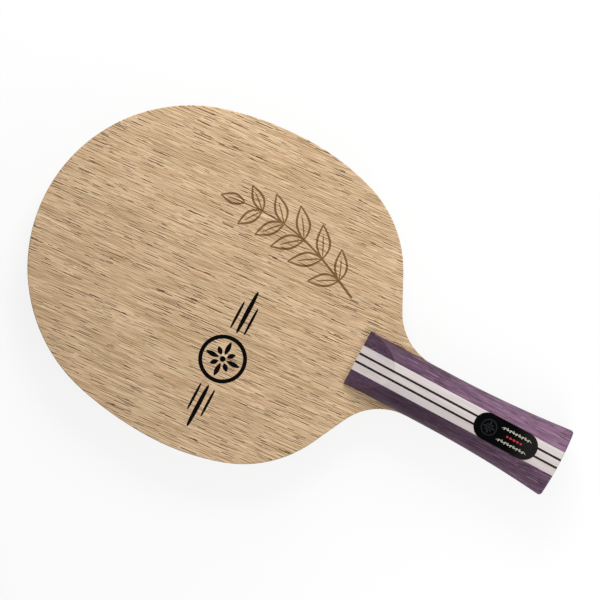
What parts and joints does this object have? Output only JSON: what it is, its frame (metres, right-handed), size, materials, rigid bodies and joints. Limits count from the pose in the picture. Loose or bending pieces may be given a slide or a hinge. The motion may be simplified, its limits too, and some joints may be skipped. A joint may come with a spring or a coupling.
{
  "type": "table tennis paddle",
  "caption": "Bare wooden table tennis blade: oval plywood head with thin carbon plies, and a flared, crowned handle of striped wood with an inlaid plate.",
  "frame": {"origin": "midway along and across the blade, at the level of the underside of the rear handle scale", "axes": "+Y along the handle to the tip of the head, -Y to the butt, +Z out of the front face, X across the head"},
  "size_m": [0.15, 0.2588, 0.025],
  "materials": {
    "face_veneer": "open-pored pale veneer, thin matt seal",
    "inner_wood": "sawn edge, unfinished",
    "core_wood": "sawn edge, unfinished",
    "carbon_weave": "resin-bonded carbon fabric, edge only",
    "purple_wood": "dyed veneer laminate, satin",
    "white_wood": "bleached veneer, satin",
    "black_wood": "dyed veneer, satin",
    "plate_lacquer": "glossy domed plate with a thin rim"
  },
  "bodies": {
    "root": {"core_ply": "core_wood", "front_carbon_ply": "carbon_weave", "front_centre_strip": "white_wood", "front_inner_ply": "inner_wood", "front_left_dark_line": "black_wood", "front_left_pale_strip": "white_wood", "front_left_side_strip": "purple_wood", "front_outer_veneer": "face_veneer", "front_right_dark_line": "black_wood", "front_right_pale_strip": "white_wood", "front_right_side_strip": "purple_wood", "name_plate": "plate_lacquer", "rear_carbon_ply": "carbon_weave", "rear_centre_strip": "white_wood", "rear_inner_ply": "inner_wood", "rear_left_dark_line": "black_wood", "rear_left_pale_strip": "white_wood", "rear_left_side_strip": "purple_wood", "rear_outer_veneer": "face_veneer", "rear_right_dark_line": "black_wood", "rear_right_pale_strip": "white_wood", "rear_right_side_strip": "purple_wood"}
  },
  "joints": []
}
